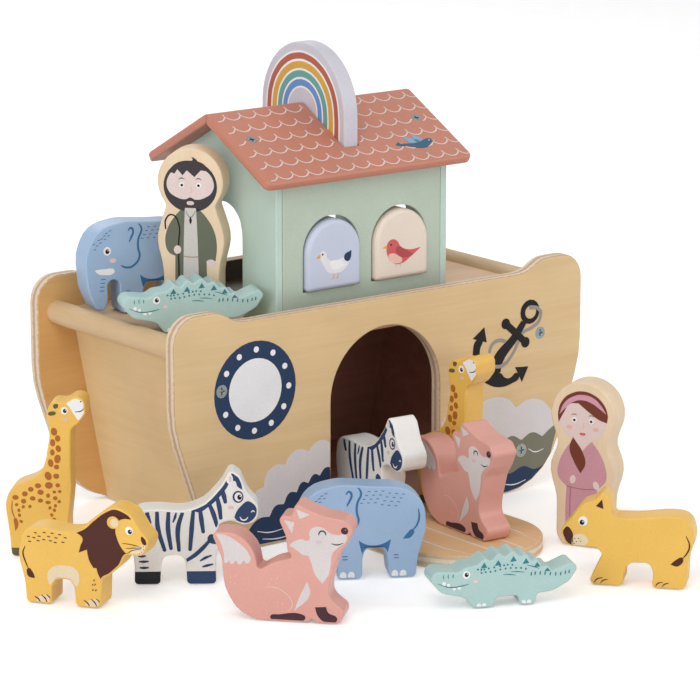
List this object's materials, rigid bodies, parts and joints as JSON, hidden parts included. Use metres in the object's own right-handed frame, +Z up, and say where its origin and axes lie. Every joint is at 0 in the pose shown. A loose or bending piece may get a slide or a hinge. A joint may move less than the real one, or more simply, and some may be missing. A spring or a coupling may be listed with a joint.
{
  "type": "toy ark play set",
  "caption": "Wooden toy ark with an arched doorway, loose ramp, open-backed deck house, lift-out window blocks and rainbow, and standing animals and people.",
  "frame": {"origin": "middle of the hull's flat underside, at floor level", "axes": "+Z up, +X along the hull from bow to stern, -Y out of the doorway"},
  "size_m": [0.4378, 0.3871, 0.2957],
  "materials": {
    "birch_plywood": "clear satin lacquer over plywood",
    "dowel_wood": "clear satin lacquer",
    "ramp_wood": "clear satin lacquer",
    "screw_steel": "zinc plated",
    "mint_paint": "satin painted wood",
    "terracotta_paint": "satin painted wood",
    "lavender_blue_paint": "satin painted wood",
    "cream_paint": "satin painted wood",
    "lavender_paint": "satin painted wood",
    "yellow_paint": "satin painted wood",
    "white_paint": "satin painted wood",
    "coral_paint": "satin painted wood",
    "blue_paint": "satin painted wood",
    "aqua_paint": "satin painted wood",
    "doll_wood": "bare fine-grained wood"
  },
  "bodies": {
    "ark": {"front_side_panel": "birch_plywood", "rear_side_panel": "birch_plywood", "bow_end_board": "birch_plywood", "stern_end_board": "birch_plywood", "bow_dowel_rail": "dowel_wood", "stern_dowel_rail": "dowel_wood", "deck_board": "birch_plywood", "hull_floor": "birch_plywood", "hull_screws": "screw_steel", "house_front_wall": "mint_paint", "window_ledge": "birch_plywood", "bow_gable": "mint_paint", "stern_gable": "mint_paint", "front_roof_board": "terracotta_paint", "rear_roof_board": "terracotta_paint", "roof_screws": "screw_steel"},
    "ramp": {"ramp_board": "ramp_wood"},
    "blue_block": {"blue_window_block": "lavender_blue_paint"},
    "cream_block": {"cream_window_block": "cream_paint"},
    "rainbow": {"rainbow_block": "lavender_paint"},
    "giraffe_a": {"giraffe_a": "yellow_paint"},
    "giraffe_b": {"giraffe_b": "yellow_paint"},
    "lion": {"lion": "yellow_paint"},
    "lioness": {"lioness": "yellow_paint"},
    "zebra_a": {"zebra_a": "white_paint"},
    "zebra_b": {"zebra_b": "white_paint"},
    "fox_a": {"fox_a": "coral_paint"},
    "fox_b": {"fox_b": "coral_paint"},
    "elephant_a": {"elephant_a": "blue_paint"},
    "elephant_b": {"elephant_b": "blue_paint"},
    "crocodile_a": {"crocodile_a": "aqua_paint"},
    "crocodile_b": {"crocodile_b": "aqua_paint"},
    "man": {"man_figure": "doll_wood"},
    "woman": {"woman_figure": "doll_wood"}
  },
  "joints": [
    {"name": "ramp_lift", "type": "slide", "parent": "ark", "child": "ramp", "axis": [0, 0, 1], "range_m": [0, 0.04]},
    {"name": "rainbow_lift", "type": "slide", "parent": "ark", "child": "rainbow", "axis": [0, 0, 1], "range_m": [0, 0.06]},
    {"name": "blue_block_pull", "type": "slide", "parent": "ark", "child": "blue_block", "axis": [0, -1, 0], "range_m": [0, 0.03]},
    {"name": "cream_block_pull", "type": "slide", "parent": "ark", "child": "cream_block", "axis": [0, -1, 0], "range_m": [0, 0.03]},
    {"name": "giraffe_a_lift", "type": "slide", "parent": "ark", "child": "giraffe_a", "axis": [0, 0, 1], "range_m": [0, 0.05]},
    {"name": "lion_lift", "type": "slide", "parent": "ark", "child": "lion", "axis": [0, 0, 1], "range_m": [0, 0.05]},
    {"name": "lioness_lift", "type": "slide", "parent": "ark", "child": "lioness", "axis": [0, 0, 1], "range_m": [0, 0.05]},
    {"name": "zebra_a_lift", "type": "slide", "parent": "ark", "child": "zebra_a", "axis": [0, 0, 1], "range_m": [0, 0.05]},
    {"name": "fox_a_lift", "type": "slide", "parent": "ark", "child": "fox_a", "axis": [0, 0, 1], "range_m": [0, 0.05]},
    {"name": "elephant_b_lift", "type": "slide", "parent": "ark", "child": "elephant_b", "axis": [0, 0, 1], "range_m": [0, 0.05]},
    {"name": "crocodile_b_lift", "type": "slide", "parent": "ark", "child": "crocodile_b", "axis": [0, 0, 1], "range_m": [0, 0.05]},
    {"name": "woman_lift", "type": "slide", "parent": "ark", "child": "woman", "axis": [0, 0, 1], "range_m": [0, 0.05]},
    {"name": "giraffe_b_lift", "type": "slide", "parent": "ramp", "child": "giraffe_b", "axis": [0, 0, 1], "range_m": [0, 0.03]},
    {"name": "fox_b_lift", "type": "slide", "parent": "ramp", "child": "fox_b", "axis": [0, 0, 1], "range_m": [0, 0.03]},
    {"name": "zebra_b_walk", "type": "slide", "parent": "ramp", "child": "zebra_b", "axis": [0, -1, 0], "range_m": [0, 0.04]},
    {"name": "elephant_a_lift", "type": "slide", "parent": "ark", "child": "elephant_a", "axis": [0, 0, 1], "range_m": [0, 0.025]},
    {"name": "crocodile_a_lift", "type": "slide", "parent": "ark", "child": "crocodile_a", "axis": [0, 0, 1], "range_m": [0, 0.03]},
    {"name": "man_step", "type": "slide", "parent": "ark", "child": "man", "axis": [-1, 0, 0], "range_m": [0, 0.012]}
  ]
}
